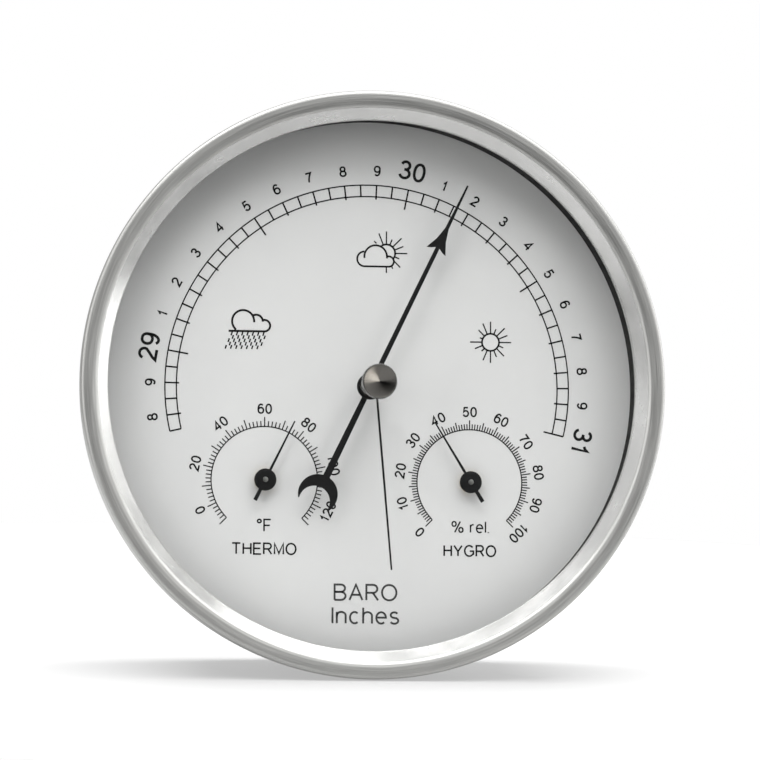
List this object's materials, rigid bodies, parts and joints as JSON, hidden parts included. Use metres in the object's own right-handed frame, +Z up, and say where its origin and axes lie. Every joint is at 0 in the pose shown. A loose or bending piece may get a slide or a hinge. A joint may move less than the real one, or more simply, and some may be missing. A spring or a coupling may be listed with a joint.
{
  "type": "aneroid barometer",
  "caption": "Round wall barometer with a steel bezel, an inch pressure scale, a centre-set marker hand, and small thermometer and hygrometer dials.",
  "frame": {"origin": "centre of the back cover's rear face, on the dial's axis, where the wall touches it", "axes": "+Y into the wall along the dial's axis, so the dial faces -Y; +Z up the dial; +X to the right as seen from the front"},
  "size_m": [0.132, 0.0512, 0.132],
  "materials": {
    "brushed_steel": "circular brushed stainless steel",
    "black_plastic": "fine matt moulded surface",
    "clear_glass": "clear float glass",
    "gasket_rubber": "matt",
    "dial_aluminium": "satin silver, printed in black",
    "black_hand": "satin black",
    "dark_chrome": "polished dark chrome, turned face",
    "zinc_steel": "bright zinc plate",
    "movement_brass": "stamped, lightly brushed",
    "nickel_silver": "nickel plate, satin",
    "blued_steel": "tempered blue",
    "bimetal": "copper-coloured rolled strip",
    "humidity_strip": "coated rolled strip"
  },
  "bodies": {
    "housing": {"bezel": "brushed_steel", "case_shell": "brushed_steel", "back_cover": "black_plastic", "glass": "clear_glass", "glass_gasket": "gasket_rubber", "spacer_ring": "black_plastic", "dial_plate": "dial_aluminium", "cover_screw_1": "zinc_steel", "cover_screw_2": "zinc_steel", "cover_screw_3": "zinc_steel", "movement_screw_1": "zinc_steel", "movement_screw_2": "zinc_steel", "movement_screw_3": "zinc_steel", "movement_screw_4": "zinc_steel", "glass_bushing": "dark_chrome", "bushing_nut": "dark_chrome", "spring_washer": "dark_chrome", "movement_base": "movement_brass", "capsule_lower": "nickel_silver", "capsule_upper": "nickel_silver", "main_spring": "blued_steel", "shaft_bracket_1": "movement_brass", "shaft_bracket_2": "movement_brass", "bridge_pillar_1": "movement_brass", "bridge_pillar_2": "movement_brass", "arbor_bridge": "movement_brass", "bridge_screw_1": "zinc_steel", "bridge_screw_2": "zinc_steel", "arbor_cock": "movement_brass", "cock_screw_1": "zinc_steel", "cock_screw_2": "zinc_steel", "spring_screw_1": "zinc_steel", "spring_screw_2": "zinc_steel", "hairspring": "blued_steel", "hairspring_stud": "movement_brass", "thermo_bush": "movement_brass", "thermo_bracket": "zinc_steel", "thermo_coil": "bimetal", "hygro_bush": "movement_brass", "hygro_bracket": "zinc_steel", "hygro_coil": "humidity_strip"},
    "set_hand": {"set_hand": "black_hand", "setting_spindle": "movement_brass", "setting_knob": "dark_chrome"},
    "pointer": {"pointer": "black_hand", "pointer_arbor": "zinc_steel"},
    "chain": {"chain": "zinc_steel"},
    "rocker": {"rocking_shaft": "zinc_steel", "chain_arm": "movement_brass"},
    "link": {"link_rod": "zinc_steel"},
    "lever": {"lever_arm": "zinc_steel", "capsule_post": "zinc_steel", "spring_key": "movement_brass"},
    "thermo_hand": {"thermo_hand": "black_hand", "thermo_arbor": "zinc_steel"},
    "hygro_hand": {"hygro_hand": "black_hand", "hygro_arbor": "zinc_steel"},
    "adjuster": {"adjusting_screw": "movement_brass"}
  },
  "joints": [
    {"name": "pointer_turn", "type": "hinge", "parent": "housing", "child": "pointer", "pos_m": [0, -0.0355, 0], "axis": [0, -1, 0], "range_deg": [-85, 138], "stiffness_Nm_per_rad": 0.00002, "deforming": ["hairspring"]},
    {"name": "chain_pull", "type": "slide", "parent": "housing", "child": "chain", "axis": [1, 0, 0], "range_m": [-0.0011, 0.0018]},
    {"name": "rocker_turn", "type": "hinge", "parent": "housing", "child": "rocker", "pos_m": [0.024, -0.012, 0], "axis": [0, 0, 1], "range_deg": [-4.6, 7.3]},
    {"name": "link_rise", "type": "slide", "parent": "housing", "child": "link", "axis": [0, -1, 0], "range_m": [-0.00032, 0.0005]},
    {"name": "lever_tilt", "type": "hinge", "parent": "housing", "child": "lever", "pos_m": [-0.024, -0.0134, 0], "axis": [0, 0, 1], "range_deg": [-0.7, 0.45], "deforming": ["main_spring", "capsule_upper"]},
    {"name": "thermo_turn", "type": "hinge", "parent": "housing", "child": "thermo_hand", "pos_m": [-0.02336, -0.0334, -0.02115], "axis": [0, -1, 0], "range_deg": [-113, 166], "stiffness_Nm_per_rad": 0.00002, "deforming": ["thermo_coil"]},
    {"name": "hygro_turn", "type": "hinge", "parent": "housing", "child": "hygro_hand", "pos_m": [0.02336, -0.0334, -0.02115], "axis": [0, -1, 0], "range_deg": [-171, 108], "stiffness_Nm_per_rad": 0.00002, "deforming": ["hygro_coil"]},
    {"name": "set_hand_turn", "type": "hinge", "parent": "housing", "child": "set_hand", "pos_m": [0, -0.04, 0], "axis": [0, -1, 0], "continuous": true},
    {"name": "adjuster_turn", "type": "hinge", "parent": "housing", "child": "adjuster", "pos_m": [-0.023, -0.005, 0], "axis": [0, -1, 0], "range_deg": [-360, 360]}
  ],
  "couplings": [
    {"joint": "chain_pull", "follows": "pointer_turn", "m_per_rad": 0.0007},
    {"joint": "rocker_turn", "follows": "pointer_turn", "ratio": 0.05},
    {"joint": "link_rise", "follows": "pointer_turn", "m_per_rad": 0.0002},
    {"joint": "lever_tilt", "follows": "pointer_turn", "ratio": -0.0045455}
  ]
}
